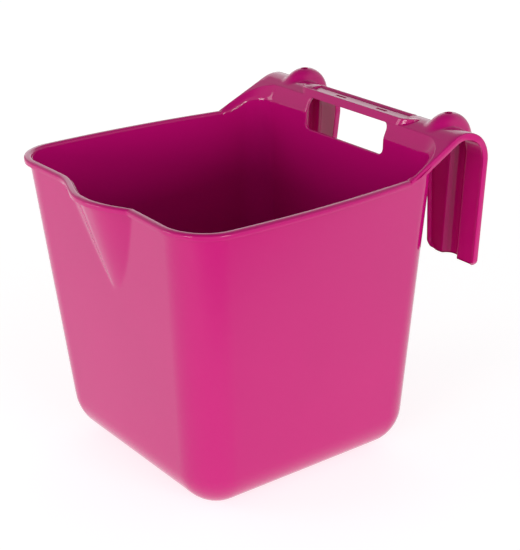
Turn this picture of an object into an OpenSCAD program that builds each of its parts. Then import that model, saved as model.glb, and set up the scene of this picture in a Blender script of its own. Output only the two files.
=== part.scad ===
// Hook-over feed bucket: a tapered plastic tub with a pour spout, a grip slot and two rail hooks.
// The real bucket is one moulding. Each node below is one region of it, and neighbours meet face to face.
// Origin: centre of the underside. +X to the right, +Y to the back (the hooks), +Z up.

/* [Tub] */
// Height of the rim above the ground
rim_z = 280; // [240:1:320]
// Width of the underside, measured where the straight walls would meet it
base_w = 235.6; // [210:1:250]
// Depth of the underside, measured where the straight walls would meet it
base_d = 240; // [210:1:250]
// Width of the tub at the rim, at the corners and without the lip
top_w = 269.2; // [255:1:290]
// Distance from the centre to the front wall at the rim
top_front = 149.2; // [140:0.5:160]
// Distance from the centre to the back wall at the rim
top_back = 128.8; // [124:0.2:132]
// Outward bow of each side wall at the rim
side_bow = 9.6; // [0:0.2:14]
// How far the sides close in from front to back at the rim, each side
side_taper = 6.3; // [0:0.1:9]
// Inward bow of the front wall at the rim
front_dip = 3; // [0:0.2:5]
// Radius of the front upright corners
front_r = 36.5; // [25:0.5:42]
// Radius of the rear upright corners at the rim
rear_r = 28; // [20:0.5:36]
// Radius between the floor and the walls
floor_r = 39.8; // [20:0.2:42]
// Thickness of the walls and the floor
wall = 3; // [2:0.1:4]

/* [Rim] */
// How far the lip stands out from the wall
lip_out = 4.4; // [3:0.1:6]
// Height of the lip
lip_h = 4.7; // [4:0.1:8]
// Thickness of the lip's top and of its hanging edge
lip_t = 2.3; // [1.6:0.1:2.6]

/* [Spout] */
// How far the spout stands out at the rim
spout_out = 16.5; // [8:0.5:22]
// Half of the spout's width at the rim
spout_half = 56; // [40:1:60]
// Height at which the spout starts
spout_z = 193; // [170:1:220]
// Spout's distance to the right of the centre line
spout_x = 9; // [-12:0.5:12]

/* [Grip] */
// Half of the grip opening's width
grip_half = 56; // [45:0.5:58]
// Height of the grip opening's lower edge
grip_low = 273.5; // [270:0.5:280]
// Corner radius of the grip opening
grip_r = 7; // [3:0.5:10]
// Half of the length of the handle bar between the hooks
bar_half = 66; // [64:0.5:68]

/* [Hooks] */
// Distance from the centre line to the middle of each hook's rib
rib_x = 102.4; // [98:0.2:106]
// Outer radius of the hook's bend
bend_r = 30; // [26:0.5:34]
// Thickness of the hook's sheet
sheet = 3; // [2:0.1:4]
// Depth of the lip along the hook's edges, with the sheet
edge_h = 6.5; // [5:0.1:8]
// Height of the lower end of the hook's leg
leg_low = 178; // [150:1:230]
// Lean of the leg towards the tub, in degrees
leg_lean = 2.2; // [0:0.1:4]
// Outer radius of the hook's hollow rib
rib_r = 12.3; // [10:0.1:14]
// Radius of the hole at the top of each rib
hole_r = 3.75; // [2:0.05:5]

/* [Hidden] */
$fn = 64;
pink = [0.80, 0.10, 0.45];
eps = 0.01;

ring_z = rim_z - lip_t;
bend_y = 150.3;
bend_z = 279.7;
ramp_turn = 116.7;
kink_y = 79;
ramp_len = 70;
leg_len = bend_z - leg_low;
edge_x0 = 141.4;
edge_run = 0.0649;
edge_t = 2.5;
leg_x = edge_x0 - edge_run * (bend_y + bend_r - kink_y);
hook_reach = 160;
corner_in = 9;
corner_out = 4;
slot_half = 9.2;
slot_y = 7.8;
rib_c = [10.7, 12.7];
rib_top_r = 27.3;
tie_y = bend_y + rib_c[0] * cos(leg_lean) + rib_c[1] * sin(leg_lean);
tie_z = bend_z - rib_c[0] * sin(leg_lean) + rib_c[1] * cos(leg_lean) + rib_top_r - wall / 2;
bar_low = 303.8;
bar_top = 310.5;
bar_front = 131.6;
bar_back = 157.2;
tray_z = 307.5;
lean_z = 290;
lean_y = 131.8;

// Outline of the tub. k is the height as a part of the rim height, off moves the outline inwards.
function half_w(k) = base_w / 2 + (top_w - base_w) / 2 * k;
function front_y(k) = base_d / 2 + (top_front - base_d / 2) * k;
function back_y(k) = base_d / 2 + (top_back - base_d / 2) * k;
function rear_radius(k) = 36 + (rear_r - 36) * k;
function warp_back(k) = base_d / 2 + 16.7 * k;

n_corner = 8;
n_side = 8;
n_front = 32;

// The bulge of the spout at x, at a height that is f of the way up the spout.
function bulge(x, f) = f <= 0 ? 0 :
    let (u = abs(x - spout_x) / (spout_half * pow(f, 0.68)))
    u >= 1 ? 0 : spout_out * f * cos(90 * u);

// Side walls bow outwards and close in towards the back, and the front wall dips inwards.
function warped(p, k) =
    let (yf = front_y(k), yb = warp_back(k), mid = (yb - yf) / 2, half = (yb + yf) / 2,
         s = max(-1, min(1, (p[1] - mid) / half)), u = p[0] / half_w(k),
         x = p[0] * (1 + (side_bow * k * (1 - s * s) - side_taper * k * s) / half_w(k)),
         y = p[1] < mid ? p[1] + front_dip * k * (1 - u * u) * min(1, (mid - p[1]) / half) : p[1])
    [x, y];

function arc(cx, cy, r, a) = [for (i = [0:n_corner - 1]) [cx + r * cos(a + 90 * i / n_corner),
                                                          cy + r * sin(a + 90 * i / n_corner)]];
function row(a, b, n) = [for (i = [0:n - 1]) a + (b - a) * i / n];

function outline(z, off) =
    let (k = z / rim_z, w = half_w(k) - off, yf = front_y(k) - off, yb = back_y(k) - off,
         rf = max(2, front_r - off), rb = max(2, rear_radius(k) - off),
         y0 = -yf + rf, y1 = yb - rb, yk = y0 + (y1 - y0) * 0.9,
         f = (z - spout_z) / (rim_z - spout_z),
         front = [for (x = row(-w + rf, w - rf, n_front)) warped([x, -yf], k)],
         right = [for (y = concat(row(y0, yk, n_side), [yk])) warped([w, y], k)],
         left = [for (y = concat([y1], row(yk, y0, n_side))) warped([-w, y], k)])
    concat(right,
           [for (p = arc(w - rb, y1, rb, 0)) warped(p, k)],
           [[w - rb, yb], [bar_half, yb], [-bar_half, yb]],
           [for (p = arc(-w + rb, y1, rb, 90)) warped(p, k)],
           left,
           [for (p = arc(-w + rf, y0, rf, 180)) warped(p, k)],
           [for (p = front) [p[0], p[1] - bulge(p[0], f)]],
           [for (p = arc(w - rf, y0, rf, 270)) warped(p, k)]);

// Where each stretch of the outline starts.
i_kink = n_side;
i_rear_r = n_side + 1;
i_back = i_rear_r + n_corner;
i_bar_r = i_back + 1;
i_bar_l = i_back + 2;
i_rear_l = i_back + 3;
i_left = i_rear_l + n_corner;
i_kink_l = i_left + 1;
i_front_l = i_left + 1 + n_side;
i_front = i_front_l + n_corner;
i_front_r = i_front + n_front;
n_out = i_front_r + n_corner;

// Rings: [height, inset] of the outer skin and of the inner skin, from the floor to the lip.
n_floor = 7;
fillet = [for (i = [0:n_floor]) let (a = 90 * i / n_floor)
    [[floor_r - floor_r * cos(a), floor_r - floor_r * sin(a)],
     [floor_r - (floor_r - wall) * cos(a), floor_r - (floor_r - wall) * sin(a)]]];
wall_z = [90, 140, spout_z, 200, 208, 218, 230, 244, 260, ring_z];
rings = concat(fillet, [for (z = wall_z) [[z, 0], [z, wall]]]);
n_ring = len(rings);
j_spout = n_floor + 3;
skin = concat([for (r = rings) each [for (p = outline(r[0][0], r[0][1])) [p[0], p[1], r[0][0]]]],
              [for (r = rings) each [for (p = outline(r[1][0], r[1][1])) [p[0], p[1], r[1][0]]]],
              [[0, 0, 0], [0, 0, wall]]);

function spot(i, j, inner) = (inner ? n_ring * n_out : 0) + j * n_out + (i + n_out) % n_out;
function quad(a, b, c, d) = [[a, b, c], [a, c, d]];

// A closed panel of the tub: the cells (i, j) of the skin for which keep(i, j) is true.
module panel(keep, floor = false) {
    has = function(i, j) j >= 0 && j < n_ring - 1 && keep((i + n_out) % n_out, j);
    cells = [for (j = [0:n_ring - 2]) for (i = [0:n_out - 1]) if (has(i, j)) [i, j]];
    faces = [for (c = cells) let (i = c[0], j = c[1],
            o = [spot(i, j, false), spot(i + 1, j, false), spot(i + 1, j + 1, false), spot(i, j + 1, false)],
            n = [spot(i, j, true), spot(i + 1, j, true), spot(i + 1, j + 1, true), spot(i, j + 1, true)])
        each concat(quad(o[3], o[2], o[1], o[0]), quad(n[0], n[1], n[2], n[3]),
            !has(i, j - 1) && !(floor && j == 0) ? quad(o[0], o[1], n[1], n[0]) : [],
            !has(i, j + 1) ? quad(o[2], o[3], n[3], n[2]) : [],
            !has(i - 1, j) ? quad(o[3], o[0], n[0], n[3]) : [],
            !has(i + 1, j) ? quad(o[1], o[2], n[2], n[1]) : [])];
    centre = 2 * n_ring * n_out;
    caps = floor ? [for (i = [0:n_out - 1]) each [
        [spot(i, 0, false), spot(i + 1, 0, false), centre],
        [spot(i + 1, 0, true), spot(i, 0, true), centre + 1]]] : [];
    polyhedron(skin, concat(faces, caps));
}

function is_front(i) = i >= i_front && i < i_front_r;
function is_spout(i, j) = j >= j_spout && i >= i_front + 2 && i < i_front_r - 1;

// The floor with the rounded foot of the walls.
module tub_base() {
    color(pink) panel(function(i, j) j < n_floor, floor = true);
}

// The front wall between the upright corners, without the spout.
module front_wall() {
    color(pink) panel(function(i, j) j >= n_floor && is_front(i) && !is_spout(i, j));
}

// The bulged part of the front wall that pours.
module pour_spout() {
    color(pink) panel(function(i, j) is_front(i) && is_spout(i, j));
}

// A side wall with the upright front corner.
module right_wall() {
    color(pink) panel(function(i, j) j >= n_floor && (i < i_rear_r - 1 || i >= i_front_r));
}
module left_wall() {
    color(pink) panel(function(i, j) j >= n_floor && i >= i_kink_l && i < i_front);
}

// The back wall with both rear corners, up to the grip panel.
module back_wall() {
    color(pink) panel(function(i, j) j >= n_floor && i >= i_rear_r - 1 && i < i_kink_l
        && !(j == n_ring - 2 && i == i_bar_r));
}

// Lip along the front and the sides: a flat top with a hanging edge. Section points are [offset, height].
module rim_lip() {
    section = [[wall, ring_z], [-lip_out + lip_t, ring_z], [-lip_out + lip_t, rim_z - lip_h],
               [-lip_out, rim_z - lip_h], [-lip_out, rim_z], [wall, rim_z]];
    n = len(section);
    lines = [for (s = section) let (o = outline(rim_z, s[0])) [for (p = o) [p[0], p[1], s[1]]]];
    first = i_kink_l;
    count = n_out - i_kink_l + i_kink;
    points = [for (c = [0:count]) for (s = [0:n - 1]) lines[s][(first + c) % n_out]];
    sides = [for (c = [0:count - 1]) for (s = [0:n - 1]) let (t = (s + 1) % n)
        each quad(c * n + s, c * n + t, (c + 1) * n + t, (c + 1) * n + s)];
    color(pink) polyhedron(points, concat(sides,
        [[for (s = [n - 1:-1:0]) s]], [[for (s = [0:n - 1]) count * n + s]]));
}

// Turns a drawing of [y, z] points into a solid that runs along X from x0 to x1.
module along_x(x0, x1) {
    translate([x0, 0, 0]) rotate([90, 0, 90]) linear_extrude(x1 - x0) children();
}

// The frame of a hook: its origin is the centre of the bend, and the leg hangs straight down in it.
module hook_frame() {
    translate([0, bend_y, bend_z]) rotate([-leg_lean, 0, 0]) children();
}

// Side view of the ramp, between the radii r0 and r1 of the bend that it runs into.
module ramp_side(r0, r1) {
    rotate(ramp_turn) translate([r0, 0]) square([r1 - r0, ramp_len]);
}

// Side view of the bend between the radii r0 and r1, from the leg to the ramp.
module bend_side(r0, r1) {
    intersection() {
        difference() {
            circle(r1, $fn = 180);
            circle(r0, $fn = 180);
        }
        polygon(concat([[0, 0]], [for (i = [0:5]) let (a = ramp_turn * i / 5) 2 * r1 * [cos(a), sin(a)]]));
    }
}

// All that lies under the top face of the ramp and the bend, less the depth down.
module under_top(down) {
    hook_frame() along_x(-hook_reach, hook_reach) {
        circle(bend_r - down, $fn = 180);
        ramp_side(-2 * bend_r, bend_r - down);
    }
}

// Plan of one hook, from x0 to in_by inside its outer edge.
module hook_plan(x0 = bar_half, in_by = 0) {
    far = 120;
    translate([0, 0, leg_low - 20]) linear_extrude(200) polygon([
        [x0, kink_y], [edge_x0 - in_by, kink_y],
        [edge_x0 - edge_run * far - in_by, kink_y + far], [x0, kink_y + far]]);
}

// The space inside the tub, carried up past the rim.
module inside() {
    translate([0, 0, ring_z - 1]) linear_extrude(60) polygon(outline(rim_z, wall));
    along_x(-bar_half - 40, bar_half + 40) polygon([[100, lean_z], [back_y(1) - wall, lean_z],
        [lean_y, bar_low], [lean_y, bar_low + 30], [100, bar_low + 30]]);
}

// A round tube of radius r along the middle of the rib: over the bend and down the leg.
module rib_path(r) {
    c = rib_top_r - rib_r;
    hook_frame() translate([rib_x, rib_c[0], rib_c[1]]) {
        rotate([90, 0, 90]) rotate_extrude(angle = 180) translate([c, 0]) circle(r);
        translate([0, c, -rib_c[1] - leg_len - 5]) cylinder(h = rib_c[1] + leg_len + 5, r = r);
    }
}

// The tie hole through the top of a rib.
module tie_hole() {
    translate([rib_x, tie_y, tie_z - 5]) cylinder(h = 12, r = hole_r);
}

// Rear corner of the tub above the rim: the walls run up to the underside of the hook's ramp.
module shoulder() {
    color(pink) intersection() {
        difference() {
            union() {
                translate([0, 0, ring_z]) linear_extrude(40) polygon(outline(rim_z, 0));
                along_x(bar_half, bar_half + 40) polygon([[back_y(1) - wall, lean_z - 4],
                    [back_y(1), lean_z - 4], [lean_y + 3.4, bar_low], [lean_y, bar_low + 2],
                    [back_y(1) - wall, lean_z]]);
            }
            inside();
        }
        under_top(sheet);
        translate([bar_half, kink_y, ring_z]) cube([100, 100, 60]);
    }
}

// Ramp of a hook, from the rim to the bend, with a lip under its outer edge.
module hook_ramp() {
    color(pink) difference() {
        intersection() {
            hook_frame() along_x(0, hook_reach) ramp_side(bend_r - edge_h, bend_r);
            hook_plan();
        }
        intersection() {
            hook_frame() along_x(0, hook_reach) ramp_side(0, bend_r - sheet);
            hook_plan(x0 = 0, in_by = edge_t);
        }
        inside();
    }
}

// Bend of a hook, with a lip under each edge and a slot under the rib.
module hook_bend() {
    color(pink) difference() {
        intersection() {
            hook_frame() along_x(0, hook_reach) bend_side(bend_r - edge_h, bend_r);
            hook_plan();
        }
        intersection() {
            hook_frame() along_x(0, hook_reach) circle(bend_r - sheet, $fn = 180);
            hook_plan(x0 = bar_half + edge_t, in_by = edge_t);
        }
        under_bar();
        hook_frame() translate([rib_x - slot_half, slot_y, -1]) cube([2 * slot_half, 60, 60]);
    }
}

// Keeps the inner lip of the bend clear of the handle bar.
module under_bar() {
    translate([0, 0, bend_z]) cube([bar_half + edge_t + 1, bar_back, 60]);
}

// Leg of a hook: a lip along each edge, the half-round channel of the rib, and the lower corners cut off.
module hook_leg() {
    color(pink) intersection() {
        hook_frame() difference() {
            union() {
                translate([0, bend_r, 0]) rotate([90, 0, 0]) linear_extrude(edge_h) polygon([
                    [bar_half, 0], [bar_half, -leg_len + corner_in], [bar_half + corner_in - 2, -leg_len],
                    [leg_x - corner_out, -leg_len], [leg_x, -leg_len + corner_out], [hook_reach, 0]]);
                intersection() {
                    translate([rib_x, rib_c[0] + rib_top_r - rib_r, -leg_len]) cylinder(h = leg_len, r = rib_r);
                    translate([bar_half, bend_r - 1, -leg_len]) cube([80, 40, leg_len]);
                }
            }
            translate([bar_half + edge_t, 0, -leg_len - 1])
                cube([leg_x - bar_half - 2 * edge_t, bend_r - sheet, leg_len + 2]);
            translate([0, 0, -leg_len - 1]) cube([hook_reach, bend_r - sheet, corner_in + 1]);
            translate([rib_x, rib_c[0] + rib_top_r - rib_r, -leg_len - 1])
                cylinder(h = leg_len + 2, r = rib_r - sheet);
        }
        hook_plan();
    }
}

// Raised rib over the bend, with the tie hole at its top.
module hook_rib() {
    color(pink) difference() {
        rib_path(rib_r);
        rib_path(rib_r - sheet);
        under_top(0);
        hook_frame() translate([bar_half, -100, -leg_len - 10]) cube([80, 200, leg_len + 10]);
        tie_hole();
    }
}

module mirrored(left) {
    if (left) mirror([1, 0, 0]) children(); else children();
}
module right_shoulder() { shoulder(); }
module left_shoulder() { mirrored(true) shoulder(); }
module right_hook_ramp() { hook_ramp(); }
module left_hook_ramp() { mirrored(true) hook_ramp(); }
module right_hook_bend() { hook_bend(); }
module left_hook_bend() { mirrored(true) hook_bend(); }
module right_hook_leg() { hook_leg(); }
module left_hook_leg() { mirrored(true) hook_leg(); }
module right_hook_rib() { hook_rib(); }
module left_hook_rib() { mirrored(true) hook_rib(); }

// Upright panel behind the tub with the grip opening, thicker round the opening.
module grip_panel() {
    z0 = wall_z[len(wall_z) - 2];
    y0 = back_y(z0 / rim_z);
    y1 = back_y(1);
    bead = 1.5;
    color(pink) difference() {
        union() {
            along_x(-bar_half, bar_half) polygon([[y0 - wall, z0], [y0, z0], [y1, rim_z], [y1 + 0.4, lean_z],
                [lean_y + 3, bar_low], [lean_y, bar_low], [y1 - wall, lean_z], [y1 - wall, rim_z]]);
            along_x(-grip_half - 4, grip_half + 4) polygon([[y1 - 1, grip_low - 4], [y1 + bead - 0.3, grip_low - 4],
                [y1 + bead, rim_z], [y1 + bead + 0.4, lean_z], [lean_y + 3, bar_low], [lean_y + 1, bar_low],
                [y1 - 1, lean_z]]);
        }
        grip_opening();
    }
}

module grip_opening() {
    w = 2 * grip_half;
    h = bar_low - grip_low;
    translate([0, 200, 0]) rotate([90, 0, 0]) linear_extrude(120) translate([-grip_half, grip_low]) {
        translate([grip_r, 0]) square([w - 2 * grip_r, h + eps]);
        translate([0, grip_r]) square([w, h - 2 * grip_r]);
        for (x = [grip_r, w - grip_r]) for (z = [grip_r, h - grip_r]) translate([x, z]) circle(grip_r);
    }
}

// Handle bar between the hooks: an upside-down channel with a shallow tray and two drain slots on top.
module handle_bar() {
    end = 14;
    color(pink) difference() {
        union() {
            along_x(-bar_half, bar_half) polygon([[bar_front, bar_low], [lean_y + 3, bar_low],
                [lean_y + 3, tray_z - sheet], [bar_back - sheet, tray_z - sheet], [bar_back - sheet, bar_low - 7],
                [bar_back, bar_low - 7], [bar_back, bar_top], [bar_front + 3.2, bar_top], [bar_front, bar_top - 3]]);
            for (s = [-1, 1]) difference() {
                translate([0, 0, 302]) linear_extrude(bar_top - 302) intersection() {
                    translate([s * bar_half, bar_back]) circle(bar_back - bar_front - 3.2);
                    translate([s > 0 ? bar_half : -bar_half - end, bar_front]) square([end, bar_back - bar_front]);
                }
                under_top(0);
            }
        }
        translate([-bar_half, bar_front + 4.4, tray_z]) cube([2 * bar_half, bar_back - bar_front - 6.4, 10]);
        for (s = [-1, 1]) translate([s * 28.8, 147.5, tray_z - 6]) linear_extrude(12) {
            square([11.4, 3], center = true);
            for (e = [-1, 1]) translate([e * 5.7, 0]) circle(1.5);
        }
    }
}

tub_base();
front_wall();
pour_spout();
left_wall();
right_wall();
back_wall();
rim_lip();
grip_panel();
handle_bar();
left_shoulder();
right_shoulder();
left_hook_ramp();
right_hook_ramp();
left_hook_bend();
right_hook_bend();
left_hook_leg();
right_hook_leg();
left_hook_rib();
right_hook_rib();
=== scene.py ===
import math

import bmesh
import bpy
from mathutils import Matrix, Vector


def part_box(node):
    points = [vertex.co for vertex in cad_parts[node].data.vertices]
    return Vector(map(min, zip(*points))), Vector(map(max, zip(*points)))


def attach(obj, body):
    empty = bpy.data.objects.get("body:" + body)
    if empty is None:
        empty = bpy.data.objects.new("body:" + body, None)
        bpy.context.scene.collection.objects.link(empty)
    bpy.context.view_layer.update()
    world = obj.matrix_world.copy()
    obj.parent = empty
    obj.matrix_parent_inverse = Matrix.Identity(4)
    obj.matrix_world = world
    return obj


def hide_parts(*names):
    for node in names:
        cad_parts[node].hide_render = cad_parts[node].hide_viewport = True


bl_info = {
    "name": "Feed bucket",
    "version": (1, 0, 0),
    "blender": (4, 5, 0),
    "location": "View3D > Sidebar > Feed bucket",
    "description": "Builds a hook-over feed bucket in glossy plastic around its CAD model, with a pale studio",
    "category": "Add Mesh",
}

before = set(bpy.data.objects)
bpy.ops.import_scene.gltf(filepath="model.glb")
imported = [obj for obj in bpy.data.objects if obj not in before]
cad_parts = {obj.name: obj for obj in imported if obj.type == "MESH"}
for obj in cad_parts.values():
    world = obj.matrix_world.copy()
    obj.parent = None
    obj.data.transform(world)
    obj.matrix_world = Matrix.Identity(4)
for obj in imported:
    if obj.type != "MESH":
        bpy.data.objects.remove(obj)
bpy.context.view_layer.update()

# Shapes are worked out in millimetres, in the frame of the CAD model, and scaled when a mesh is made.
MM = 0.001
BODY = "root"


def top_of(node):
    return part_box(node)[1].z / MM


def foot_of(node):
    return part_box(node)[0].z / MM


# Tub: half sizes at the underside and at the rim, the bow of its sides, and how they close in at the back.
RIM_Z = top_of("rim_lip")
WALL = 3.0
BASE_HALF_X, BASE_HALF_Y = 117.8, 120.0
TOP_HALF_X, TOP_FRONT, TOP_BACK = 134.6, 149.2, 128.8
SIDE_BOW, SIDE_TAPER, FRONT_DIP = 9.6, 6.3, 3.0
FRONT_R, REAR_R_LOW, REAR_R_TOP = 36.5, 34.0, 24.0
FLOOR_R, SMALLEST_R = 39.8, 2.0
# At the rim the bow of the sides ends this far behind the underside's edge.
BOW_BACK = 16.7
# Share of the side's straight stretch at which the rim turns up into the deck.
KINK_SHARE = 0.9
# Heights of the rows of the wall: wide apart at first, and close together over the spout.
WALL_ROWS = [
    FLOOR_R, 50, 62, 78, 96, 114, 132, 148, 162, 174, 184, 190,
    193.5, 196, 198.5, 201, 204, 207, 210, 213, 216.5, *range(220, 273, 4),
]
FLOOR_ROWS = 14

# Spout: a shallow cone in the front wall, a little wider and softer to the left than to the right.
SPOUT_X, SPOUT_Z, SPOUT_OUT = 9.0, 193.0, 16.5
SPOUT_LEFT, SPOUT_LEFT_POWER, SPOUT_LEFT_FLAT = 66.0, 0.86, 0.10
SPOUT_RIGHT, SPOUT_RIGHT_POWER = 46.0, 0.54

# Lip: a bead along the front and the sides. Its round top ends in a skirt, which meets the wall in a fillet.
LIP_OUT, LIP_H, LIP_R, LIP_SKIRT = 4.4, 5.3, 2.0, 2.3
LIP_FILLET = ((0.0, -0.7), (0.3, -0.2), (0.9, 0.0))
CORNER_R = 0.5

# Deck behind the tub: the ramp rises from the kink of the rim to the bend of the hooks.
BEND_R, BEND_Y, BEND_Z, LEAN = 30.0, 150.3, 279.7, math.radians(2.2)
RAMP_TURN = math.radians(116.7)
EDGE_X0, EDGE_RUN, EDGE_Y0 = 141.4, 0.0649, 79.0
EDGE_H, EDGE_T, EDGE_ROUND = 6.5, 2.5, 1.4
EDGE_FOOT_R, KINK_ROUND = 0.6, 1.5
# The deck's edge: a chamfer from the inner skin up to the ramp, which grows out of the rim behind the kink.
CHAMFER_OUT, CHAMFER_DROP, CHAMFER_ROUND, CHAMFER_RUN = 3.2, 3.9, 0.7, 9.0
CREASE_Z, CREASE_SOFT = 290.3, 2.0
DECK_BACK_OUT, DECK_BACK_T, DECK_STEP = 6.1, 2.6, 0.6
DECK_TOP_RUN, DECK_T, GAP = 0.8, 2.4, 0.02

# Hooks: a ramp beside the tub, a bend, and a leg with raised edges that narrows and rounds off at its end.
SHEET = 3.0
HOOK_X0 = 66.0
LEG_LOW = foot_of("right_hook_leg") + 3.6
LEG_LEN = (BEND_Z - LEG_LOW) / math.cos(LEAN)
LEG_TAPER_IN, LEG_TAPER_OUT = 0.095, 0.012
LEG_END_IN, LEG_END_IN_RUN, LEG_END_IN_POWER = 6.5, 7.0, 1.6
LEG_END_OUT, LEG_END_OUT_RUN, LEG_END_OUT_POWER = 2.0, 3.5, 1.7
# The bend widens by EDGE_GROW over EDGE_GROW_RUN, measured back from EDGE_GROW_Y.
EDGE_GROW, EDGE_GROW_Y, EDGE_GROW_RUN = 3.0, 144.0, 26.0
RAMP_RUN = 16.0
# Behind FAN_Y the ramp's rows close up on its outer side, so that the last one lies square to the hook.
FAN_Y, FAN_SHARE = 126.0, 0.5
FLAT_ROWS_Y = (133.2, 134.6, 136.0)
BEND_ROWS = 44
SHARP_R, SHARP_Y, SHARP_RUN = 0.04, 136.0, 8.0
# Rib over the bend and the top of the leg, hollow below, with its tie hole.
RIB_X, RIB_R = 102.4, 12.3
RIB_CENTRE, RIB_SWEEP = (10.7, 12.7), 15.0
RIB_BLEND, CHANNEL_BLEND, RIB_FOOT_X = 3.0, 2.0, 16.0
HOLE_Y, HOLE_Z, HOLE_DEPTH = 161.48, 321.0, 16.0

# Handle bar between the hooks.
BAR_TOP, BAR_TRAY, BAR_LOW = 310.5, 307.5, 303.6
BAR_FRONT, BAR_BACK, BAR_REAR_TOP = 134.6, 157.2, 309.5
BAR_END_R, BAR_END_Y = 15.2, 149.8
BAR_SKIRT_LOW, BAR_SKIRT_T, BAR_ROOF = 297.0, 2.6, 304.6
TRAY_BACK = 154.8
SLOT_X, SLOT_Y, SLOT_Z, SLOT_DEPTH, SLOT_R = 29.1, 147.9, 307.0, 12.0, 1.2

# Grip opening through the back, below the bar.
GRIP_LOW, GRIP_HIGH = 273.5, BAR_LOW + 0.6
GRIP_CUT_Y, GRIP_CUT_DEPTH, BACK_FROM_Y = 132.0, 60.0, 110.0


def smooth(t):
    t = max(0.0, min(1.0, t))
    return t * t * (3 - 2 * t)


def mix(a, b, t):
    return a + (b - a) * t


def steps(a, b, n):
    return [mix(a, b, i / n) for i in range(n)]


# ---------------------------------------------------------------- outline of the tub

SIDE_STEPS, DECK_STEPS, CORNER_STEPS, BACK_STEPS, FRONT_STEPS = 12, 7, 14, 28, 112
STATIONS = (
    [("right", t) for t in steps(0, KINK_SHARE, SIDE_STEPS)]
    + [("right", KINK_SHARE), ("right_deck", KINK_SHARE)]
    + [("right_deck", t) for t in steps(KINK_SHARE, 1, DECK_STEPS)[1:]]
    + [("rear_right", t) for t in steps(0, 1, CORNER_STEPS)]
    + [("back", t) for t in steps(0, 1, BACK_STEPS)]
    + [("rear_left", t) for t in steps(0, 1, CORNER_STEPS)]
    + [("left_deck", t) for t in steps(1, KINK_SHARE, DECK_STEPS)]
    + [("left_deck", KINK_SHARE), ("left", KINK_SHARE)]
    + [("left", t) for t in steps(KINK_SHARE, 0, SIDE_STEPS)[1:]]
    + [("front_left", t) for t in steps(0, 1, CORNER_STEPS)]
    + [("front", t) for t in steps(0, 1, FRONT_STEPS)]
    + [("front_right", t) for t in steps(0, 1, CORNER_STEPS)]
)
DECK_PARTS = ("right_deck", "rear_right", "back", "rear_left", "left_deck")


def bulge(x, z):
    """How far the spout stands out in front of the wall at x and z."""
    f = (min(z, RIM_Z) - SPOUT_Z) / (RIM_Z - SPOUT_Z)
    if f <= 0:
        return 0.0
    if x < SPOUT_X:
        u = (SPOUT_X - x) / (SPOUT_LEFT * f ** SPOUT_LEFT_POWER)
        return SPOUT_OUT * f * smooth((1 - u) / (1 - SPOUT_LEFT_FLAT))
    u = (x - SPOUT_X) / (SPOUT_RIGHT * f ** SPOUT_RIGHT_POWER)
    return SPOUT_OUT * f * math.cos(math.pi / 2 * min(1.0, u))


def bowed(x, y, k):
    """Takes a point of the straight-sided plan, at the share k of the rim's height, to the bowed plan."""
    full = mix(BASE_HALF_X, TOP_HALF_X, k)
    front, back = mix(BASE_HALF_Y, TOP_FRONT, k), BASE_HALF_Y + BOW_BACK * k
    mid, half = (back - front) / 2, (back + front) / 2
    along = max(-1.0, min(1.0, (y - mid) / half))
    across = x / full
    if y < mid:
        y += FRONT_DIP * k * (1 - across * across) * min(1.0, (mid - y) / half)
    x *= 1 + (SIDE_BOW * k * (1 - along * along) - SIDE_TAPER * k * along) / full
    return x, y


def on_wall(station, z, inset):
    """The point of the tub's plan at a station, a height and a distance inside the outer skin."""
    part, t = station
    k = min(z, RIM_Z) / RIM_Z
    w = mix(BASE_HALF_X, TOP_HALF_X, k) - inset
    front = mix(BASE_HALF_Y, TOP_FRONT, k) - inset
    back = mix(BASE_HALF_Y, TOP_BACK, k) - inset
    rf = max(SMALLEST_R, FRONT_R - inset)
    rb = max(SMALLEST_R, mix(REAR_R_LOW, REAR_R_TOP, k) - inset)
    y0, y1 = rf - front, back - rb
    a = math.pi / 2 * t
    x, y = {
        "right": (w, mix(y0, y1, t)),
        "right_deck": (w, mix(y0, y1, t)),
        "rear_right": (w - rb + rb * math.cos(a), y1 + rb * math.sin(a)),
        "back": (mix(w - rb, rb - w, t), back),
        "rear_left": (rb - w - rb * math.sin(a), y1 + rb * math.cos(a)),
        "left_deck": (-w, mix(y0, y1, t)),
        "left": (-w, mix(y0, y1, t)),
        "front_left": (rf - w - rf * math.cos(a), y0 - rf * math.sin(a)),
        "front": (mix(rf - w, w - rf, t), -front),
        "front_right": (w - rf + rf * math.sin(a), y0 - rf * math.cos(a)),
    }[part]
    x, y = bowed(x, y, k)
    if part == "front":
        y -= bulge(x, z)
    return x, y


KINK_Y = on_wall(("right", KINK_SHARE), RIM_Z, 0)[1]
TANGENT = (
    BEND_Y + BEND_R * math.cos(RAMP_TURN - LEAN),
    BEND_Z + BEND_R * math.sin(RAMP_TURN - LEAN),
)
RAMP_SLOPE = (TANGENT[1] - RIM_Z) / (TANGENT[0] - KINK_Y)


def ramp_z(y):
    return RIM_Z + max(0.0, y - KINK_Y) * RAMP_SLOPE


def edge_x(y):
    return EDGE_X0 - EDGE_RUN * (y - EDGE_Y0)


def rounded(before, corner, after, reach_before, reach_after, n):
    """n + 1 points that round a corner, from reach_before ahead of it to reach_after past it."""
    a = Vector(corner) + (Vector(before) - Vector(corner)).normalized() * reach_before
    c = Vector(corner) + (Vector(after) - Vector(corner)).normalized() * reach_after
    b = Vector(corner)
    out = []
    for i in range(n + 1):
        t = i / n
        out.append(tuple(a * (1 - t) ** 2 + b * (2 * t * (1 - t)) + c * t * t))
    return out


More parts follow.
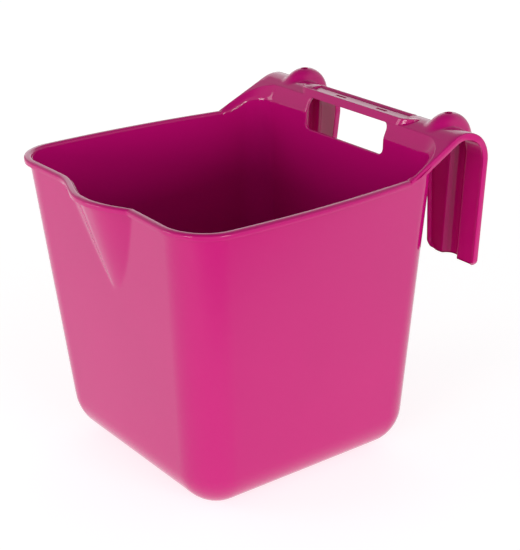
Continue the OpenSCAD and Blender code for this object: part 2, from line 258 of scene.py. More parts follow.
def deck_profile(station):
    """The top of the tub at a station of the deck, as (inset, height), from the outer skin to the inner."""
    part, t = station
    y_wall = on_wall(station, RIM_Z, 0)[1]
    grow = 1.0 if part in ("back", "rear_right", "rear_left") else smooth((y_wall - KINK_Y) / CHAMFER_RUN)
    crest_in = -CHAMFER_OUT * grow
    crest = (crest_in, ramp_z(on_wall(station, RIM_Z, crest_in)[1]))
    low = crest[1] - CHAMFER_DROP * grow
    if grow > 0:
        low = CREASE_Z - CREASE_SOFT * math.log(math.exp((CREASE_Z - low) / CREASE_SOFT) + 1)
    foot = (WALL, low)
    soft = CHAMFER_ROUND * grow
    top_in = crest_in - DECK_TOP_RUN * grow - GAP
    top = (top_in, ramp_z(on_wall(station, RIM_Z, top_in)[1]))
    inner = rounded((WALL, low - WALL), foot, crest, WALL, min(WALL, math.dist(foot, crest) - soft), 5)
    edge = rounded(foot, crest, top, soft, soft, 4)
    lean = {"back": 1.0, "rear_right": smooth(t), "rear_left": smooth(1 - t)}.get(part, 0.0)
    back_in = -DECK_BACK_OUT * lean
    outer_top = (back_in, ramp_z(on_wall(station, RIM_Z, back_in)[1]) - DECK_BACK_T)
    outer_low = (0.0, min(CREASE_Z, outer_top[1] - DECK_STEP))
    return [outer_low, outer_top, (top_in, top[1] - DECK_T), top] + edge[::-1] + inner[::-1]


def lip_root(station):
    """The same number of points where the lip takes over: all on the flat end of the wall."""
    top = RIM_Z - WALL
    n = len(deck_profile(("back", 0.5)))
    return [(0.0, top)] * 4 + [(WALL, top)] * (n - 4)


# ---------------------------------------------------------------- mesh helpers


def deselect():
    bpy.ops.object.select_all(action="DESELECT")


def only(piece):
    deselect()
    piece.select_set(True)
    bpy.context.view_layer.objects.active = piece


def edit_all(piece):
    """Opens a piece in edit mode with all of it selected."""
    only(piece)
    bpy.ops.object.mode_set(mode="EDIT")
    bpy.ops.mesh.select_all(action="SELECT")


def skin(name, rows):
    """A grid whose points are put in place row by row. Points that meet are merged."""
    deselect()
    bpy.ops.mesh.primitive_grid_add(
        x_subdivisions=len(rows[0]) - 1, y_subdivisions=len(rows) - 1, size=1, location=(0, 0, 0)
    )
    piece = bpy.context.active_object
    piece.name = piece.data.name = name
    flat = [c * MM for row in rows for p in row for c in p]
    piece.data.vertices.foreach_set("co", flat)
    piece.data.update()
    edit_all(piece)
    bpy.ops.mesh.remove_doubles(threshold=2e-6)
    bpy.ops.object.mode_set(mode="OBJECT")
    while piece.data.uv_layers:
        piece.data.uv_layers.remove(piece.data.uv_layers[0])
    return piece


def close_ends(piece):
    """Fills the open ends of a swept piece with triangles."""
    edit_all(piece)
    bpy.ops.mesh.fill_holes(sides=0)
    bpy.ops.mesh.select_all(action="DESELECT")
    bpy.ops.mesh.select_face_by_sides(number=4, type="GREATER")
    bpy.ops.mesh.quads_convert_to_tris(ngon_method="BEAUTY")
    bpy.ops.object.mode_set(mode="OBJECT")


def face_out(piece):
    edit_all(piece)
    bpy.ops.mesh.normals_make_consistent(inside=False)
    bpy.ops.object.mode_set(mode="OBJECT")


def rounded_box(size, centre, radius, segments):
    """A box with round edges, to cut an opening with. Its sizes are in metres."""
    deselect()
    bpy.ops.mesh.primitive_cube_add(size=1, location=(0, 0, 0))
    box = bpy.context.active_object
    edit_all(box)
    bpy.ops.transform.resize(value=size, center_override=(0, 0, 0))
    bpy.ops.transform.translate(value=centre)
    bpy.ops.mesh.bevel(offset=radius, segments=segments)
    bpy.ops.object.mode_set(mode="OBJECT")
    return box


def cut_away(piece, cutter):
    """Takes the cutter's volume out of a piece, and closes any hole that is left."""
    only(piece)
    hole = piece.modifiers.new("hole", "BOOLEAN")
    hole.operation, hole.solver, hole.object = "DIFFERENCE", "EXACT", cutter
    bpy.ops.object.modifier_apply(modifier=hole.name)
    bpy.data.objects.remove(cutter)
    edit_all(piece)
    bpy.ops.mesh.fill_holes(sides=0)
    bpy.ops.object.mode_set(mode="OBJECT")


def finish_piece(piece, nodes, angle=38):
    """Shades a piece, gives it the plastic, hangs it on the body, and hides the CAD nodes that it stands for.
    """
    only(piece)
    bpy.ops.object.shade_smooth_by_angle(angle=math.radians(angle))
    piece.data.materials.clear()
    piece.data.materials.append(pink_plastic())
    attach(piece, BODY)
    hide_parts(*nodes)


def mirrored_copy(piece, name):
    """The same piece for the left side, with its own mesh."""
    only(piece)
    bpy.ops.object.duplicate()
    twin = bpy.context.active_object
    twin.name = twin.data.name = name
    edit_all(twin)
    bpy.ops.transform.resize(value=(-1, 1, 1), center_override=(0, 0, 0))
    bpy.ops.mesh.flip_normals()
    bpy.ops.object.mode_set(mode="OBJECT")
    return twin


# ---------------------------------------------------------------- plastic


FLOW_SCALE, FLOW_SHADE = 9.0, 0.9
RIPPLE_SCALE, RIPPLE_STRENGTH, RIPPLE_HEIGHT = 620.0, 0.05, 0.0004


def pink_plastic():
    """Glossy moulded plastic: a faint flow of the colour, fine ripples, and a slightly uneven gloss."""
    name = "pink_plastic"
    if name in bpy.data.materials:
        return bpy.data.materials[name]
    look = bpy.context.scene.feed_bucket_look
    mat = bpy.data.materials.new(name)
    mat.use_nodes = True
    tree = mat.node_tree
    tree.nodes.clear()
    new = tree.nodes.new
    out, bsdf = new("ShaderNodeOutputMaterial"), new("ShaderNodeBsdfPrincipled")
    place = new("ShaderNodeTexCoord")
    tree.links.new(bsdf.outputs["BSDF"], out.inputs["Surface"])
    bsdf.inputs["IOR"].default_value = 1.49
    bsdf.inputs["Specular IOR Level"].default_value = 0.40
    bsdf.inputs["Coat Weight"].default_value = 0.0

    def noise(scale, detail):
        n = new("ShaderNodeTexNoise")
        n.inputs["Scale"].default_value = scale
        n.inputs["Detail"].default_value = detail
        tree.links.new(place.outputs["Object"], n.inputs["Vector"])
        return n

    flow = noise(FLOW_SCALE, 3.0)
    tint = new("ShaderNodeMix")
    tint.data_type = "RGBA"
    tint.inputs["A"].default_value = (*look.colour, 1)
    tint.inputs["B"].default_value = (*[c * FLOW_SHADE for c in look.colour], 1)
    tree.links.new(flow.outputs["Fac"], tint.inputs["Factor"])
    tree.links.new(tint.outputs["Result"], bsdf.inputs["Base Color"])

    gloss = new("ShaderNodeMapRange")
    gloss.inputs["To Min"].default_value = look.gloss_low
    gloss.inputs["To Max"].default_value = look.gloss_high
    tree.links.new(flow.outputs["Fac"], gloss.inputs["Value"])
    tree.links.new(gloss.outputs["Result"], bsdf.inputs["Roughness"])

    ripple = new("ShaderNodeBump")
    ripple.inputs["Strength"].default_value = RIPPLE_STRENGTH
    ripple.inputs["Distance"].default_value = RIPPLE_HEIGHT
    tree.links.new(noise(RIPPLE_SCALE, 2.0).outputs["Fac"], ripple.inputs["Height"])
    tree.links.new(ripple.outputs["Normal"], bsdf.inputs["Normal"])
    return mat


# ---------------------------------------------------------------- pieces


def low_turn(radius):
    """(height, inset) of the rows of the quarter round that turns from the floor up into the wall."""
    return [(FLOOR_R - radius * math.cos(a), FLOOR_R - radius * math.sin(a))
            for a in steps(0, math.pi / 2, FLOOR_ROWS)]


def ring(z, inset):
    points = [(*on_wall(s, z, inset), z) for s in STATIONS]
    return points + points[:1]


def top_ring(profiles, i):
    """The ring through point i of every profile: over the deck, and along the wall's end elsewhere."""
    points = []
    for station, profile in zip(STATIONS, profiles):
        inset, z = profile[i]
        plan_z = RIM_Z if station[0] in DECK_PARTS else z
        points.append((*on_wall(station, plan_z, inset), z))
    return points + points[:1]


def build_tub():
    """The tub as one closed skin: up the outside, over the deck and the wall's top, and down the inside."""
    count = len(STATIONS) + 1
    profiles = [deck_profile(s) if s[0] in DECK_PARTS else lip_root(s) for s in STATIONS]
    rows = [[(0, 0, 0)] * count]
    rows += [ring(z, inset) for z, inset in low_turn(FLOOR_R)]
    rows += [ring(z, 0) for z in WALL_ROWS]
    rows += [top_ring(profiles, i) for i in range(len(profiles[0]))]
    rows += [ring(z, WALL) for z in WALL_ROWS[::-1]]
    rows += [ring(z, inset) for z, inset in low_turn(FLOOR_R - WALL)[::-1]]
    rows += [[(0, 0, WALL)] * count]
    tub = skin("tub", rows)
    face_out(tub)
    cut_grip(tub)
    finish_piece(tub, ["tub_base", "front_wall", "pour_spout", "left_wall", "right_wall", "back_wall",
                       "left_shoulder", "right_shoulder", "grip_panel"])


def cut_grip(tub):
    """Cuts the long grip opening through the back and rounds its edge."""
    sizes = bpy.context.scene.feed_bucket_sizes
    size = (sizes.grip_width, GRIP_CUT_DEPTH * MM, (GRIP_HIGH - GRIP_LOW) * MM)
    centre = (0, GRIP_CUT_Y * MM, (GRIP_HIGH + GRIP_LOW) / 2 * MM)
    cut_away(tub, rounded_box(size, centre, sizes.grip_corner, 10))
    half, near = sizes.grip_width / 2 / MM, 0.1
    mesh = tub.data
    for item in (*mesh.edges, *mesh.vertices, *mesh.polygons):
        item.select = False
    shell = bmesh.new()
    shell.from_mesh(mesh)
    for e in shell.edges:
        mid = (e.verts[0].co + e.verts[1].co) / 2 / MM
        at_back = mid.y > BACK_FROM_Y and abs(mid.x) < half + near
        at_cut = at_back and GRIP_LOW - near < mid.z < GRIP_HIGH + near
        if at_cut and len(e.link_faces) == 2 and e.calc_face_angle() > math.radians(50):
            e.select = True
    shell.select_flush_mode()
    shell.to_mesh(mesh)
    shell.free()
    only(tub)
    bpy.ops.object.mode_set(mode="EDIT")
    bpy.ops.mesh.select_mode(type="EDGE")
    bpy.ops.mesh.bevel(offset=sizes.grip_edge, segments=3, clamp_overlap=False)
    bpy.ops.mesh.select_mode(type="VERT")
    bpy.ops.object.mode_set(mode="OBJECT")


def soft_corner(x, h, to_x, to_h, r):
    """Three points that break the corner at (x, h), from along h to along x. to_x and to_h are 1 or -1."""
    return [(x, h + to_h * r), (x + to_x * 0.3 * r, h + to_h * 0.3 * r), (x + to_x * r, h)]


def lip_section():
    """The bead's closed section as (inset, height): inner skin, round top, skirt, fillet and seat."""
    root, low = RIM_Z - WALL, RIM_Z - LIP_H
    points = [(WALL * math.cos(a), root + WALL * math.sin(a)) for a in steps(0, math.pi / 2, 7)]
    round_z = RIM_Z - LIP_R
    points += [(-LIP_OUT * math.sin(a), round_z + LIP_R * math.cos(a)) for a in steps(0, math.pi / 2, 9)]
    points += [(-LIP_OUT, round_z)]
    points += soft_corner(-LIP_OUT, low, 1, 1, CORNER_R)
    points += soft_corner(-LIP_OUT + LIP_SKIRT, low, -1, 1, CORNER_R)[::-1]
    points += [(-LIP_OUT + LIP_SKIRT + x, root + z) for x, z in LIP_FILLET]
    return points + [(0.0, root), points[0]]


def build_lip():
    """The bead: its section is carried from the left kink of the rim round the front to the right kink."""
    path = [s for s in STATIONS if s[0] not in DECK_PARTS]
    first = next(i for i, s in enumerate(path) if s[0] == "left")
    section = lip_section()
    rows = [[(*on_wall(s, RIM_Z, inset), z) for inset, z in section] for s in path[first:] + path[:first]]
    lip = skin("rim_bead", rows)
    close_ends(lip)
    face_out(lip)
    finish_piece(lip, ["rim_lip"])


def hook_point(y, z):
    """World y and z of a point of the hook's own frame, whose origin is the centre of the bend."""
    c, s = math.cos(LEAN), math.sin(LEAN)
    return BEND_Y + y * c + z * s, BEND_Z - y * s + z * c


def soft_min(a, b, k):
    h = max(k - abs(a - b), 0.0)
    return min(a, b) - h * h / (4 * k)


def tube_distance(y, z, s):
    """Distance to the middle line of the rib: over the bend in a half circle and straight down the leg."""
    cy, cz = RIB_CENTRE
    if z >= cz:
        return math.hypot(math.hypot(y - cy, z - cz) - RIB_SWEEP, s)
    if y > cy:
        return math.hypot(y - cy - RIB_SWEEP, s)
    return 1e3


def outermost(start, dist):
    """The highest place at or below start where dist turns negative."""
    step, deepest, halvings = 0.6, -12, 16
    h = start
    while dist(h) > 0 and h > deepest:
        h -= step
    lo, hi = h, h + step
    for _ in range(halvings):
        m = (lo + hi) / 2
        if dist(m) > 0:
            hi = m
        else:
            lo = m
    return (lo + hi) / 2


# Where the rib and the channel below it are sampled, from the middle out, and then the whole sheet.
RIB_STEPS = [0, 2.6, 5, 7, 8.8, 10.2, 11.2, 11.9, 12.35, 12.8, 13.4, 14.2, 15.3, 16.8]
CHANNEL_STEPS = [0, 2.2, 4.2, 6, 7.4, 8.4, 9.0, 9.4, 9.9, 10.6, 11.6, 13]
TOP_X = [
    70, 76, 82, *[RIB_X - s for s in RIB_STEPS[:0:-1]], *[RIB_X + s for s in RIB_STEPS], 122.5, 127, 131,
]
LOW_X = [
    130, 125, *[RIB_X + s for s in CHANNEL_STEPS[:0:-1]], *[RIB_X - s for s in CHANNEL_STEPS], 85, 78, 72,
]
# Distances down the leg from the end of the bend. The two before LEG_LEN run past it, by under 2 mm, so the
# leg ends in a thin collar round its end face.
LEG_ROWS = [
    3, 8, 14, 21, 29, 38, 47, 56, 65, 73, 80, 86, 90, 92, 93.5, 95, 96.5, 98, 99.2, 100.2, 101, LEG_LEN,
]


def rib_height(x, at, normal):
    """How far the rib's skin stands above the sheet's top at x. at and normal are in the hook's frame."""
    s = x - RIB_X

    def outside(h):
        reach = tube_distance(at[0] + normal[0] * h, at[1] + normal[1] * h, s) - RIB_R
        return soft_min(h, reach, RIB_BLEND)

    h = outermost(20.0, outside)
    return max(h, 0.0) if abs(s) > RIB_FOOT_X else h


def channel_height(x, at, normal):
    """Where the underside lies at x, from the top of the sheet: it rises into the hollow of the rib."""
    s = x - RIB_X
    hollow = RIB_R - SHEET

    def outside(h):
        reach = tube_distance(at[0] + normal[0] * h, at[1] + normal[1] * h, s) - hollow
        return soft_min(h + SHEET, reach, CHANNEL_BLEND)

    return outermost(max(rib_height(x, at, normal) - 1.2, -SHEET + 0.5), outside)


def hook_section(ends, top, under, lips, radii, spread=None):
    """Closed section (x, h) of the hook's sheet: its top, outer lip, underside and inner lip.

    Each pair is for the inner and the outer edge: ends gives x, lips the height of the lips, and radii the
    round of the edges. top and under give h at x. spread moves the sampled x, which otherwise are only kept
    between the edges.
    """
    (x_in, x_out), (lip_in, lip_out), (r_in, r_out) = ends, lips, radii
    wall_in, wall_out = x_in + EDGE_T, x_out - EDGE_T
    reach = EDGE_FOOT_R + 0.05

    def across(x, low, high):
        return spread(x) if spread else min(max(x, low), high)

    arc = steps(0, math.pi / 2, 4) + [math.pi / 2]
    points = [(x_in + r_in - r_in * math.cos(a), -r_in + r_in * math.sin(a)) for a in arc]
    points += [(across(x, x_in + r_in + 0.05, x_out - r_out - 0.05), top(x)) for x in TOP_X]
    points += [(x_out - r_out + r_out * math.sin(a), -r_out + r_out * math.cos(a)) for a in arc]
    points += soft_corner(x_out, -lip_out, -1, 1, CORNER_R)
    points += soft_corner(wall_out, -lip_out, 1, 1, CORNER_R)[::-1]
    points += soft_corner(wall_out, -SHEET, -1, -1, EDGE_FOOT_R)
    points += [(across(x, wall_in + reach, wall_out - reach), under(x)) for x in LOW_X]
    drop = max(0.03, lip_in - SHEET)
    r = min(EDGE_FOOT_R, drop / 3)
    points += soft_corner(wall_in, -SHEET, 1, -1, r)[::-1]
    points += soft_corner(wall_in, -SHEET - drop, -1, 1, r)
    points += soft_corner(x_in, -SHEET - drop, 1, 1, r)[::-1]
    return points + points[:1]


def spread_over(low, high, full):
    """Maps x from the sheet's full width to the stretch from low to high."""
    return lambda x: low + (high - low) * (x - full[0]) / (full[1] - full[0])


def deck_edge():
    """Where the deck ends and the ramp begins, from the kink of the rim to the back."""
    stations = [s for s in STATIONS if s[0] in ("right_deck", "rear_right")] + [("rear_right", 1.0)]
    return [on_wall(s, RIM_Z, deck_profile(s)[3][0]) for s in stations]


def ramp_rows(edge):
    """Rows over the ramp: each runs from the deck out to the edge of the hook."""
    slope = math.atan(RAMP_SLOPE)
    full = (HOOK_X0, edge_x(edge[-1][1]))
    rows = []
    for x_in, y_in in edge:
        y_out = y_in if y_in < FAN_Y else FAN_Y + (y_in - FAN_Y) * FAN_SHARE
        x_out = edge_x(y_out)
        grow = smooth((y_in - KINK_Y) / RAMP_RUN)
        r_out = mix(KINK_ROUND, EDGE_ROUND, grow)
        points = hook_section(
            (x_in, x_out), lambda x: 0.0, lambda x: -SHEET,
            (SHEET, mix(LIP_H, EDGE_H, grow)), (SHARP_R, r_out),
            spread_over(x_in + 0.06, x_out - r_out - GAP, full))
        lean = Vector((-math.sin(slope) * grow, mix(1.0, math.cos(slope), grow))).normalized()
        row = []
        for x, h in points:
            y = mix(y_in, y_out, (x - x_in) / (x_out - x_in))
            row.append((x, y + lean[0] * h, ramp_z(y) + lean[1] * h))
        rows.append(row)
    return rows


def bend_path(flat_y):
    """(place, normal, distance down the leg) of each row from the top of the ramp to the end of the leg."""
    path = []
    normal = (math.cos(RAMP_TURN), math.sin(RAMP_TURN))
    for y in (flat_y, *FLAT_ROWS_Y):
        run = (TANGENT[0] - y) / math.cos(math.atan(RAMP_SLOPE))
        at = (BEND_R * normal[0] - normal[1] * run, BEND_R * normal[1] + normal[0] * run)
        path.append((at, normal, 0.0))
    for i in range(BEND_ROWS + 1):
        a = RAMP_TURN * (1 - i / BEND_ROWS)
        path.append(((BEND_R * math.cos(a), BEND_R * math.sin(a)), (math.cos(a), math.sin(a)), 0.0))
    return path + [((BEND_R, -down), (1.0, 0.0), down) for down in LEG_ROWS]


def bend_rows(flat_y):
    """Rows over the bend and down the leg, with the rib. The raised edges fade at the leg's end."""
    rows = []
    for at, normal, down in bend_path(flat_y):
        y = hook_point(*at)[0]
        left = LEG_LEN - down
        x_in = HOOK_X0 + LEG_TAPER_IN * down
        x_in += LEG_END_IN * max(0.0, 1 - left / LEG_END_IN_RUN) ** LEG_END_IN_POWER
        x_out = edge_x(y) + EDGE_GROW * smooth((y - EDGE_GROW_Y) / EDGE_GROW_RUN) - LEG_TAPER_OUT * down
        x_out -= LEG_END_OUT * max(0.0, 1 - left / LEG_END_OUT_RUN) ** LEG_END_OUT_POWER
        fade = smooth(left / 3 + 0.35)
        lip_in = mix(SHEET, mix(SHEET, EDGE_H, smooth((y - BAR_BACK) / 4)), fade)
        lip_out = mix(SHEET + 0.6, EDGE_H, fade)
        r_in = mix(SHARP_R, EDGE_ROUND, smooth((y - SHARP_Y) / SHARP_RUN))
        points = hook_section(
            (x_in, x_out), lambda x: rib_height(x, at, normal), lambda x: channel_height(x, at, normal),
            (lip_in, lip_out), (r_in, EDGE_ROUND))
        rows.append([(x, *hook_point(at[0] + normal[0] * h, at[1] + normal[1] * h)) for x, h in points])
    return rows


def build_hooks():
    """The right hook, with its tie hole, and a mirrored copy of it for the left side."""
    edge = deck_edge()
    hook = skin("right_hook", ramp_rows(edge) + bend_rows(edge[-1][1]))
    close_ends(hook)
    face_out(hook)
    deselect()
    bpy.ops.mesh.primitive_cylinder_add(
        vertices=48, radius=bpy.context.scene.feed_bucket_sizes.tie_hole / 2, depth=HOLE_DEPTH * MM,
        location=(RIB_X * MM, HOLE_Y * MM, HOLE_Z * MM))
    cutter = bpy.context.active_object
    bpy.ops.object.transform_apply(location=True, rotation=True, scale=True)
    cut_away(hook, cutter)
    for piece, side in ((hook, "right"), (mirrored_copy(hook, "left_hook"), "left")):
        finish_piece(piece, [f"{side}_hook_{part}" for part in ("ramp", "bend", "leg", "rib")])


def sink(y, z):
    """Lets the rounded end of the bar run out into the top of the bend."""
    bend = BEND_Z + math.sqrt(max(0.0, BEND_R ** 2 - (y - BEND_Y) ** 2))
    return min(z, mix(z, bend - 0.15, smooth((y - 144) / 6)))


# Front of the bar, from below: (distance behind the front, distance below the top).
BAR_NOSE = ((-0.25, 0.9), (0.1, 0.3), (0.7, 0.0), (1.4, 0.0))
# From the front rim down into the tray: (distance behind the front, share of the way down).
TRAY_IN = ((1.9, 0.12), (2.3, 0.75), (2.9, 0.95), (3.8, 1.0))
# From the tray up to the rear rim: (least distance behind the front, place from TRAY_BACK, share of the rise).
TRAY_OUT = ((4.0, -1.2, 0.0), (4.1, -0.4, 0.1), (4.2, 0.0, 0.5), (4.3, 0.3, 0.9))
BAR_X = [0, 12, 24, 36, 46, 54, 58, 61, 63.5]
BAR_END_TURNS = (0, 9, 18, 27, 36, 45, 54, 62, 69, 75, 80)


def bar_section(x):
    """Closed section (y, z) of the bar at x: nose, tray, rear rim, skirt, and the hollow below."""
    over = max(0.0, abs(x) - HOOK_X0)
    front = BAR_END_Y - math.sqrt(max(0.0, BAR_END_R ** 2 - over ** 2))
    tray = mix(BAR_TRAY, BAR_TOP - 0.25, smooth((abs(x) - 63) / 12))
    rear = mix(BAR_REAR_TOP, BAR_TOP - 0.3, smooth((abs(x) - 60) / 14))
    low = mix(BAR_LOW, BAR_LOW - 0.6, smooth(over / 8))
    foot = mix(131.9, 133.4, smooth(over / 8)) + front - BAR_FRONT
    skirt = BAR_BACK - BAR_SKIRT_T
    upper = [(foot, low), (mix(foot, front, 0.8), BAR_TOP - 2.1)]
    upper += [(front + y, BAR_TOP - z) for y, z in BAR_NOSE]
    upper += [(front + y, mix(BAR_TOP, tray, share)) for y, share in TRAY_IN]
    upper += [(mix(front + 3.8, TRAY_BACK - 1.2, 0.5), tray)]
    upper += [(max(front + y, TRAY_BACK + at), mix(tray, rear, share)) for y, at, share in TRAY_OUT]
    upper += [(TRAY_BACK + 0.9, rear), (BAR_BACK - 0.8, rear)]
    upper += [(BAR_BACK - 0.2, rear - 0.3), (BAR_BACK, rear - 0.9)]
    if over > 0.5:
        upper = [(y, sink(y, z)) for y, z in upper]
    lower = [(BAR_BACK, BAR_SKIRT_LOW + 0.5), (BAR_BACK - 0.4, BAR_SKIRT_LOW), (skirt + 0.4, BAR_SKIRT_LOW),
             (skirt, BAR_SKIRT_LOW + 0.5), (skirt, BAR_ROOF),
             (max(min(front + 2.6, 150.0), foot + 2.8), BAR_ROOF), (foot + 2.6, low)]
    return upper + lower + upper[:1]


def build_bar():
    """The handle bar: an upside-down channel with a tray on top, whose ends round into the bends."""
    right = BAR_X + [HOOK_X0 + BAR_END_R * math.sin(math.radians(a)) for a in BAR_END_TURNS]
    left = [-x for x in right[:0:-1]]
    bar = skin("grip_bar", [[(x, y, z) for y, z in bar_section(x)] for x in left + right])
    close_ends(bar)
    face_out(bar)
    sizes = bpy.context.scene.feed_bucket_sizes
    for side in (-1, 1):
        centre = (side * SLOT_X * MM, SLOT_Y * MM, SLOT_Z * MM)
        size = (sizes.slot_length, sizes.slot_width, SLOT_DEPTH * MM)
        cut_away(bar, rounded_box(size, centre, SLOT_R * MM, 5))
    finish_piece(bar, ["handle_bar"])


# ---------------------------------------------------------------- stage


# Painted light: the floor glows, though it is no lamp, and its glow fades from GLOW[0] to GLOW[1] between the
# distances GLOW_RUN, in metres,
# towards GLOW_TURN: to the right of the bucket, and a little to the front, which paints shade on that side.
GLOW, GLOW_RUN, GLOW_TURN = (0.70, 0.15), (0.30, 0.56), math.radians(75)
# The room's even light changes to the overhead light between these heights of the sky's direction.
OVERHEAD_FROM, OVERHEAD_TO = 0.5, 0.98
# Softboxes: place, what each points at, width and height.
SOFTBOXES = {
    "key": ((-0.9, -1.8, 0.7), (0, 0, 0.15), (0.9, 0.8)),
    "side": ((2.2, 0.1, 0.5), (0, 0, 0.15), (0.9, 0.7)),
    "front": ((0.75, -2.2, 0.45), (0, 0, 0.15), (0.9, 0.7)),
    "back": ((-1.7, 1.3, 1.0), (0, 0.1, 0.25), (2.4, 1.2)),
}
AZIMUTH, ELEVATION, ROLL, DISTANCE = 52.43, 22.51, 0.17, 1.25992
TARGET = Vector((0.03543, 0.0, 0.17892))
LENS = 90.77


def nodes_of(tree, *kinds):
    return [tree.nodes.new("ShaderNode" + kind) for kind in kinds]


def fade(node, start, end, first, last):
    """Makes a Map Range node go smoothly from first at start to last at end."""
    node.interpolation_type = "SMOOTHSTEP"
    for name, value in (("From Min", start), ("From Max", end), ("To Min", first), ("To Max", last)):
        node.inputs[name].default_value = value


def pale_floor():
    """A pale table with painted light: it glows a little, and less so on the right-hand side, where the fade
    paints shade.
    """
    mat = bpy.data.materials.new("pale_floor")
    mat.use_nodes = True
    tree = mat.node_tree
    bsdf = tree.nodes["Principled BSDF"]
    bsdf.inputs["Base Color"].default_value = (0.5, 0.5, 0.5, 1)
    bsdf.inputs["Roughness"].default_value = 0.9
    bsdf.inputs["Specular IOR Level"].default_value = 0.0
    # Painted light: the floor's white emission, weaker towards the right.
    bsdf.inputs["Emission Color"].default_value = (1, 1, 1, 1)
    place, ahead, glow = nodes_of(tree, "TexCoord", "VectorMath", "MapRange")
    ahead.operation = "DOT_PRODUCT"
    ahead.inputs[1].default_value = (math.sin(GLOW_TURN), -math.cos(GLOW_TURN), 0)
    fade(glow, *GLOW_RUN, *GLOW)
    tree.links.new(place.outputs["Object"], ahead.inputs[0])
    tree.links.new(ahead.outputs["Value"], glow.inputs["Value"])
    tree.links.new(glow.outputs["Result"], bsdf.inputs["Emission Strength"])
    return mat


def light_room(scene, look):
    """Even white light all round, with its own strength straight above."""
    scene.world = scene.world or bpy.data.worlds.new("studio")
    scene.world.use_nodes = True
    tree = scene.world.node_tree
    back = tree.nodes["Background"]
    back.inputs["Color"].default_value = (1, 1, 1, 1)
    way, split, fall = nodes_of(tree, "TexCoord", "SeparateXYZ", "MapRange")
    fade(fall, OVERHEAD_FROM, OVERHEAD_TO, look.room, look.overhead)
    tree.links.new(way.outputs["Generated"], split.inputs["Vector"])
    tree.links.new(split.outputs["Z"], fall.inputs["Value"])
    tree.links.new(fall.outputs["Result"], back.inputs["Strength"])


def add_softbox(scene, name, place, target, size, power):
    data = bpy.data.lights.new(name, "AREA")
    data.shape, data.size, data.size_y, data.energy = "RECTANGLE", size[0], size[1], power
    lamp = bpy.data.objects.new(name, data)
    scene.collection.objects.link(lamp)
    lamp.location = place
    lamp.rotation_euler = (Vector(target) - Vector(place)).to_track_quat("-Z", "Y").to_euler()


def aim_camera(scene):
    """A long lens in front and to the right of the bucket, looking a little down on it."""
    a, e = math.radians(AZIMUTH), math.radians(ELEVATION)
    away = Vector((math.sin(a) * math.cos(e), -math.cos(a) * math.cos(e), math.sin(e)))
    data = bpy.data.cameras.new("camera")
    data.sensor_width, data.sensor_fit, data.lens = 36.0, "AUTO", LENS
    camera = bpy.data.objects.new("camera", data)
    scene.collection.objects.link(camera)
    camera.location = TARGET + away * DISTANCE
    turn = (-away).to_track_quat("-Z", "Y").to_matrix() @ Matrix.Rotation(math.radians(ROLL), 3, "Z")
    camera.rotation_euler = turn.to_euler()
    scene.camera = camera


def build_stage():
    scene = bpy.context.scene
    look = scene.feed_bucket_look
    deselect()
    bpy.ops.mesh.primitive_grid_add(x_subdivisions=8, y_subdivisions=8, size=8, location=(0, 0, 0))
    floor = bpy.context.active_object
    floor.name = floor.data.name = "floor"
    floor.data.materials.append(pale_floor())
    light_room(scene, look)
    for name, (place, target, size) in SOFTBOXES.items():
        add_softbox(scene, f"{name}_softbox", place, target, size, getattr(look, name))
    aim_camera(scene)
    scene.view_settings.view_transform = "Standard"


# ---------------------------------------------------------------- add-on


class FeedBucketSizes(bpy.types.PropertyGroup):
    """Sizes of the feed bucket's openings"""

    grip_width: bpy.props.FloatProperty(
        name="Grip width", description="Width of the grip opening", unit="LENGTH", min=0.08, max=0.118,
        default=0.112)
    grip_corner: bpy.props.FloatProperty(
        name="Grip corner", description="Corner radius of the grip opening", unit="LENGTH",
        min=0.002, max=0.012,
        default=0.007)
    grip_edge: bpy.props.FloatProperty(
        name="Grip edge", description="Rounding of the grip opening's edge", unit="LENGTH",
        min=0.0002, max=0.001,
        default=0.0008)
    tie_hole: bpy.props.FloatProperty(
        name="Tie hole", description="Diameter of the tie hole in each hook", unit="LENGTH",
        min=0.003, max=0.009,
        default=0.0075)
    slot_length: bpy.props.FloatProperty(
        name="Slot length", description="Length of each drain slot in the handle bar",
        unit="LENGTH", min=0.006,
        max=0.03, default=0.015)
    slot_width: bpy.props.FloatProperty(
        name="Slot width", description="Width of each drain slot in the handle bar", unit="LENGTH",
        min=0.0028,
        max=0.005, default=0.0032)


class FeedBucketLook(bpy.types.PropertyGroup):
    """Colour, gloss and light of the feed bucket"""

    colour: bpy.props.FloatVectorProperty(
        name="Plastic colour", description="Colour of the moulded plastic", subtype="COLOR",
        size=3, min=0, max=1,
        default=(0.48, 0.003, 0.152))
    gloss_low: bpy.props.FloatProperty(
        name="Gloss, smoothest", description="Roughness of the shiniest places", subtype="FACTOR",
        min=0, max=1,
        default=0.05)
    gloss_high: bpy.props.FloatProperty(
        name="Gloss, dullest", description="Roughness of the dullest places", subtype="FACTOR",
        min=0, max=1,
        default=0.13)
    room: bpy.props.FloatProperty(
        name="Room light", description="Strength of the even light all round", min=0, max=4, default=0.72)
    overhead: bpy.props.FloatProperty(
        name="Overhead light", description="Strength of the even light from above", min=0, max=4,
        default=0.10)
    key: bpy.props.FloatProperty(
        name="Key softbox", description="Power of the large soft light in front", unit="POWER",
        min=0, default=8.0)
    side: bpy.props.FloatProperty(
        name="Side softbox", description="Power of the soft light on the right", unit="POWER",
        min=0, default=23.0)
    front: bpy.props.FloatProperty(
        name="Front softbox", description="Power of the soft light beside the camera", unit="POWER", min=0,
        default=18.0)
    back: bpy.props.FloatProperty(
        name="Back softbox", description="Power of the soft light behind the bucket", unit="POWER", min=0,
        default=7.0)


class FEEDBUCKET_OT_tub(bpy.types.Operator):
    """Tub with its spout, its rear shoulders and the grip opening"""

    bl_idname = "feedbucket.tub"
    bl_label = "Tub"

    def execute(self, context):
        build_tub()
        return {"FINISHED"}


class FEEDBUCKET_OT_rim(bpy.types.Operator):
    """Bead along the rim"""

    bl_idname = "feedbucket.rim"
    bl_label = "Rim bead"

    def execute(self, context):
        build_lip()
        return {"FINISHED"}


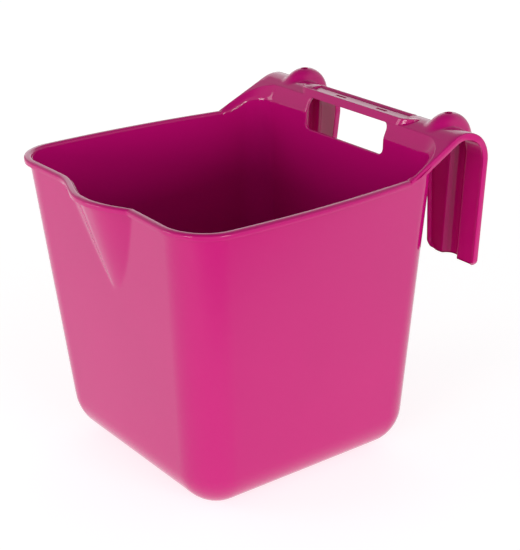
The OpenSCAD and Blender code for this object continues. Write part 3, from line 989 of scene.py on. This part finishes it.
class FEEDBUCKET_OT_hooks(bpy.types.Operator):
    """Both hooks with their ramps, ribs and tie holes"""

    bl_idname = "feedbucket.hooks"
    bl_label = "Hooks"

    def execute(self, context):
        build_hooks()
        return {"FINISHED"}


class FEEDBUCKET_OT_bar(bpy.types.Operator):
    """Handle bar with its tray and drain slots"""

    bl_idname = "feedbucket.bar"
    bl_label = "Handle bar"

    def execute(self, context):
        build_bar()
        return {"FINISHED"}


class FEEDBUCKET_OT_stage(bpy.types.Operator):
    """Pale floor, soft lights and the camera"""

    bl_idname = "feedbucket.stage"
    bl_label = "Studio"

    def execute(self, context):
        build_stage()
        return {"FINISHED"}


class FEEDBUCKET_PT_panel(bpy.types.Panel):
    bl_label = "Feed bucket"
    bl_idname = "FEEDBUCKET_PT_panel"
    bl_space_type = "VIEW_3D"
    bl_region_type = "UI"
    bl_category = "Feed bucket"

    def draw(self, context):
        for group in (context.scene.feed_bucket_sizes, context.scene.feed_bucket_look):
            for name in type(group).__annotations__:
                self.layout.prop(group, name)
        for op in OPERATORS:
            self.layout.operator(op.bl_idname)


OPERATORS = (
    FEEDBUCKET_OT_tub, FEEDBUCKET_OT_rim, FEEDBUCKET_OT_hooks, FEEDBUCKET_OT_bar, FEEDBUCKET_OT_stage,
)
CLASSES = (FeedBucketSizes, FeedBucketLook, *OPERATORS, FEEDBUCKET_PT_panel)


def register():
    for cls in CLASSES:
        bpy.utils.register_class(cls)
    bpy.types.Scene.feed_bucket_sizes = bpy.props.PointerProperty(type=FeedBucketSizes)
    bpy.types.Scene.feed_bucket_look = bpy.props.PointerProperty(type=FeedBucketLook)


def unregister():
    del bpy.types.Scene.feed_bucket_look
    del bpy.types.Scene.feed_bucket_sizes
    for cls in reversed(CLASSES):
        bpy.utils.unregister_class(cls)


def main():
    register()
    bpy.ops.feedbucket.tub()
    bpy.ops.feedbucket.rim()
    bpy.ops.feedbucket.hooks()
    bpy.ops.feedbucket.bar()
    bpy.ops.feedbucket.stage()


if __name__ == "__main__":
    main()
